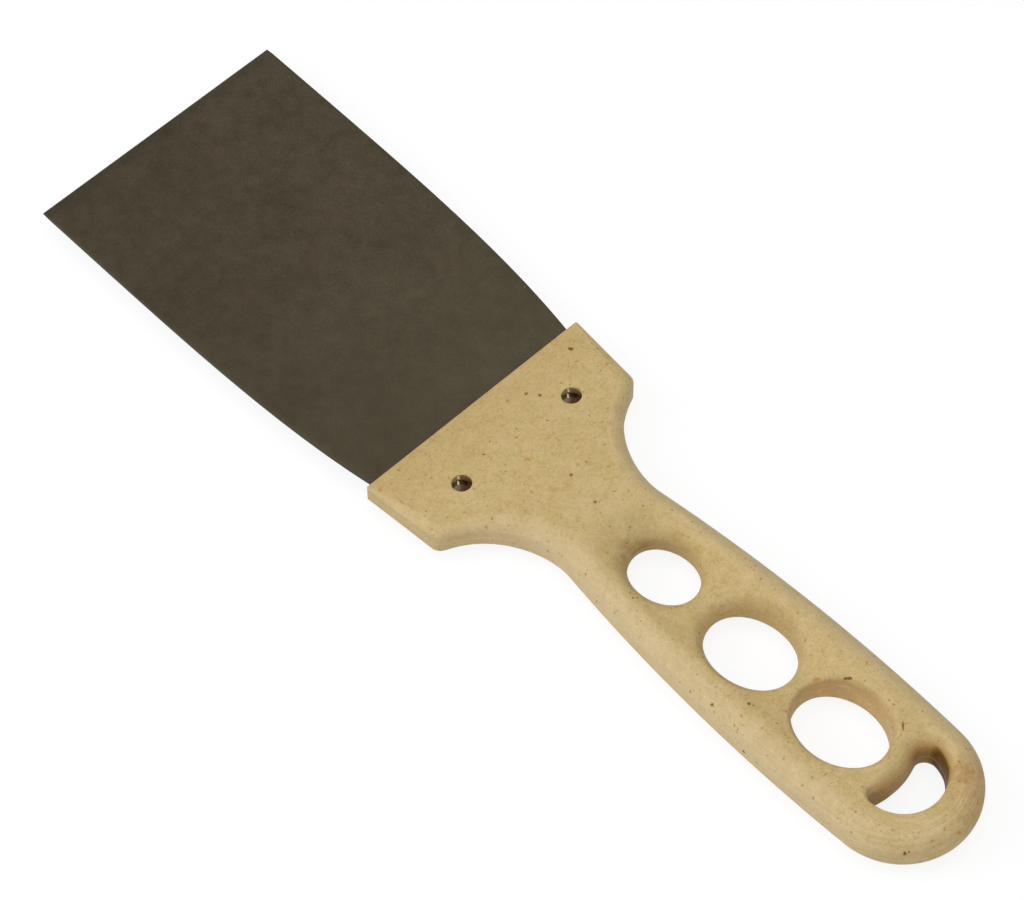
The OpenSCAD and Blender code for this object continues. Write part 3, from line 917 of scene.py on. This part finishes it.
drift = {"Vector": where, "Scale": wander_scale, "Detail": 1.0}
wander = where.node("ShaderNodeTexNoise", {}, drift, "Color")
wander = wander.vector("SUBTRACT", (0.5, 0.5, 0.5)).vector("MULTIPLY", (wander_far,) * 3)
loose = where.vector("ADD", wander)
base = (0.4 * loose.dots(1.0, 0.45, 0.3)).tint(base, colour(150, 104, 42))
base = (0.6 * loose.dots(1.5, 0.45, 0.34)).tint(base, colour(128, 82, 24))
base = (0.6 * loose.dots(2.6, 0.35, 0.42)).tint(base, colour(172, 110, 40))
base = (0.75 * loose.dots(4.0, 0.25, 0.5)).tint(base, colour(96, 62, 14))
base = (0.55 * loose.dots(6.0, 0.2, 0.75, (0.5, 1, 1))).tint(base, colour(178, 116, 44))
base = (0.85 * flecks(loose, DARK_FLECKS)).tint(base, colour(98, 62, 16))
base = (0.75 * flecks(loose, RUST_FLECKS)).tint(base, colour(190, 136, 50))
print("large flecks:", len(DARK_FLECKS), "dark and", len(RUST_FLECKS), "rust-coloured")

# %% [markdown]
# Last come the brown walls of the slot and the wells, the pale hairline where the halves meet, and the
# surface. The slot's brown is partly a stain and partly painted shade that deepens down its walls, and the
# wells' brown is painted shade, stronger on one side. The moulding is satin with a fine relief of grain and
# streaks. Only the walls of the wells are glossy. A second material could do that, but a clear coat whose
# weight follows the well needs no cut between the two.

# %% Slot, wells and surface
seam_core, seam_end = 0.06, 0.26
drag = where.noise(0.8, 3.0, 0.6, (1, 1, 0.15))
# The slot's walls: partly a brown stain, partly painted shade that deepens down them.
base = (slot_stain_shade * (0.6 + 0.8 * drag)).tint(base, colour(154, 110, 42))
base = (slot_stain_shade.clamp(0.45, 0.95) * (0.4 + 0.8 * drag)).tint(base, colour(82, 56, 16))
# Painted shade in the wells, browner on one side and deeper down.
base = (0.9 * well_shade).tint(base, colour(96, 56, 16))
off_seam = height.math("ABSOLUTE", height - mid_z * MM)
broken = 0.5 + 0.5 * where.noise(5.0).clamp(0.4, 0.6)
seam = (1 - off_seam.clamp(seam_core * MM, seam_end * MM)) * broken
base = (0.45 * seam).tint(base, colour(222, 198, 150))
polish = well_shade.clamp(0.02, 0.1)
shader.inputs["Specular IOR Level"].default_value = 0.08
shader.inputs["Coat Roughness"].default_value = 0.06
shader.inputs["Coat IOR"].default_value = 1.8
relief = 0.4 * grain + 0.6 * clump + 0.8 * streak * streaky
bump = where.node("ShaderNodeBump", {}, {"Strength": 0.35, "Distance": 0.08 * MM, "Height": relief})
rough = 0.4 + 0.25 * patch - 0.3 * polish
connect(shader, Base_Color=base, Roughness=rough, Coat_Weight=polish, Normal=bump)
print("composite:", len(composite.node_tree.nodes), "nodes")

# %% [markdown]
# ## Steel finishes
# The blade is dark rolled steel with a matt, faintly mottled skin. It is a little greyer towards the handle
# and on its sheared edges, darker towards its left flank, and has a few bright pinpricks. A metal's colour is
# the colour of its reflections, so the base colour alone makes these tones and the metal stays one.

# %% Blade steel
heel_l, LEFT_FADE = 45, (-20 * MM, 30 * MM)
blade_steel, shader, where = finish_of("dark_rolled_steel")
along, across, _ = where.split()
bloom = where.noise(16.0, 3.0)
mottle = where.noise(3.0, 4.0, 0.6)
mill = where.noise(0.28, 3.0, 0.7)
tone = 0.7 * mill + 0.3 * mottle + 0.3 * bloom - 0.15
base = tone.ramp((0.25, colour(49, 44, 33)), (0.5, colour(64, 58, 46)), (0.75, colour(78, 72, 58)))
rust = where.noise(8.0, 4.0, 0.6).clamp(0.5, 0.7)
base = (0.3 * rust).tint(base, colour(70, 58, 45))
at_heel = 1 - along.clamp(front_x * MM, (front_x + heel_l) * MM)
base = (0.4 * at_heel).tint(base, colour(63, 59, 45))
base = (0.3 * across.clamp(*LEFT_FADE)).tint(base, colour(52, 47, 37))
_, _, up = where.node("ShaderNodeNewGeometry", {}, {}, "Normal").split()
sheared = 1 - up.math("ABSOLUTE", up).clamp(0.2, 0.6)
base = (0.7 * sheared).tint(base, colour(62, 60, 56))
base = (0.8 * where.dots(8.0, 0.3, 0.22)).tint(base, colour(190, 190, 185))
shader.inputs["Metallic"].default_value = 1.0
bump = where.node("ShaderNodeBump", {}, {"Strength": 0.15, "Distance": 0.02 * MM, "Height": mill})
connect(shader, Base_Color=base, Roughness=0.38 + 0.16 * mottle, Normal=bump)
print("blade steel:", len(blade_steel.node_tree.nodes), "nodes")

# %% [markdown]
# The rivets are smoother and stained. Their heads are also painted darker on one side, painted shade that
# lies on the same side as the painted shade on the walls of their wells. The sign of y tells the two rivets
# apart, so one finish does for both.

# %% Rivet steel
# Where the painted shade across a head begins and where it is full
RIVET_SHADE = (-1.4 * MM, 0.4 * MM)
rivet_steel, shader, where = finish_of("rivet_steel")
x, y, _ = where.split()
rivet_x, rivet_y = (rivet_c * MM).tolist()
way_x, way_y = well_way.tolist()
# Painted shade across each head, darkest on the same side as the wells' painted shade.
rivet_shade = (way_x * (x - rivet_x) + way_y * (y - rivet_y * y.math("SIGN", y))).clamp(*RIVET_SHADE)
stain = where.noise(0.9, 3.0).clamp(0.35, 0.7)
base = stain.tint(colour(128, 118, 96), colour(106, 92, 70))
base = (0.9 * rivet_shade).tint(base, colour(66, 42, 22))
shader.inputs["Metallic"].default_value = 1.0
connect(shader, Base_Color=base, Roughness=0.08 + 0.12 * stain)
print("rivet steel:", len(rivet_steel.node_tree.nodes), "nodes")

# %% [markdown]
# ## Floor
# The knife lies on a white ground. The floor is a plain pale sheet, a hair below it. To the camera and in
# reflections most of its white comes from a glow of about strength 1, so that it stays white without more
# light on the knife, and the rest is lit, so that the knife keeps a faint shadow. The world behind it is
# white to the same rays and dimmer to all others.

# %% Stage
floor_half, floor_z, floor_glow, glow_share, ambient = 3.0, -0.2 * MM, 1.03, 0.85, 0.3
corner = floor_half * np.array([[-1, -1], [1, -1], [1, 1], [-1, 1]])
floor_mesh = bpy.data.meshes.new("floor")
floor_mesh.from_pydata(np.column_stack([corner, np.full(4, floor_z)]).tolist(), [], [(0, 1, 2, 3)])
floor = bpy.data.objects.new("floor", floor_mesh)
bpy.context.scene.collection.objects.link(floor)


def seen_by(wire):
    """1 for rays from the camera and those that a shiny or a clear surface sends on, and 0 for the others."""
    path = wire.node("ShaderNodeLightPath", {}, {}, "Is Camera Ray")
    seen = wire.math("MAXIMUM", path, path.twin("Is Glossy Ray"))
    return wire.math("MAXIMUM", seen, path.twin("Is Transmission Ray"))


paper = bpy.data.materials.new("white_ground")
paper.use_nodes = True
paper.node_tree.nodes.clear()
start = Wire(paper.node_tree)
matt = start.node("ShaderNodeBsdfDiffuse", {}, {"Color": (0.9, 0.9, 0.9, 1)})
glow = start.node("ShaderNodeEmission", {}, {"Color": (1, 1, 1, 1), "Strength": floor_glow})
mixed = start.node("ShaderNodeMixShader", {}, {0: glow_share * seen_by(start), 1: matt, 2: glow})
connect(paper.node_tree.nodes.new("ShaderNodeOutputMaterial"), Surface=mixed)
floor.data.materials.append(paper)
world = bpy.data.worlds.new("studio")
bpy.context.scene.world = world
world.use_nodes = True
studio = world.node_tree.nodes["Background"]
studio.inputs["Color"].default_value = (1, 1, 1, 1)
connect(studio, Strength=ambient + (1 - ambient) * seen_by(Wire(world.node_tree)))
print("floor", 2 * floor_half, "m across")

# %% [markdown]
# ## Light
# Three broad, soft lamps light the knife, so that its shadow stays faint: one from the left of the picture,
# one from the near side and one from straight above. The fourth, at the near right, is a narrow strip that
# lights no matt surface. A photographer adds such a strip to draw one bright line along something shiny, and
# here it puts the streak into the wells of the rivets.

# %% Lamps
# Place, width, height and power
LAMPS = {
    "left_light": ((0.7, 0.7, 0.84), 0.8, 0.8, 6.5),
    "near_light": ((-0.7, 0.7, 0.84), 0.8, 0.8, 3.2),
    "top_light": ((0.001, 0.0, 1.3), 0.8, 0.8, 6.2),
    "strip_light": ((-0.71, 0.05, 1.09), 0.24, 1.1, 22.0),
}


def softbox(name, place, width, height, power):
    """A flat lamp that faces the knife."""
    lamp = bpy.data.objects.new(name, bpy.data.lights.new(name, "AREA"))
    lamp.data.shape = "RECTANGLE"
    lamp.data.size, lamp.data.size_y, lamp.data.energy = width, height, power
    back = np.array(place) / np.linalg.norm(place)
    side = np.cross([0, 0, 1], back)
    side /= np.linalg.norm(side)
    turned = np.eye(4)
    turned[:3] = np.column_stack([side, np.cross(back, side), back, place])
    lamp.matrix_world = Matrix(turned.tolist())
    bpy.context.scene.collection.objects.link(lamp)
    return lamp


lamps = {name: softbox(name, *values) for name, values in LAMPS.items()}
lamps["strip_light"].visible_diffuse = False
bpy.context.scene.view_settings.view_transform = "Standard"
print("lamps:", ", ".join(lamps))

# %% [markdown]
# ## Put together
# Each row gives a piece, the solid that it stands for, the name of its finish and the finish. Every piece
# rides on the knife's one body and takes that finish, and its solid is hidden.

# %% Assemble
DRESS = [
    (upper, "upper_scale", "handle_composite", composite),
    (lower, "lower_scale", "handle_composite", composite),
    (blade, "blade", "blade_steel", blade_steel),
    (left_rivet, "left_rivet", "rivet_steel", rivet_steel),
    (right_rivet, "right_rivet", "rivet_steel", rivet_steel),
]
for piece, node, slot, finish in DRESS:
    piece.data.materials.append(finish)
    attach(piece, "root")
    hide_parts(node)
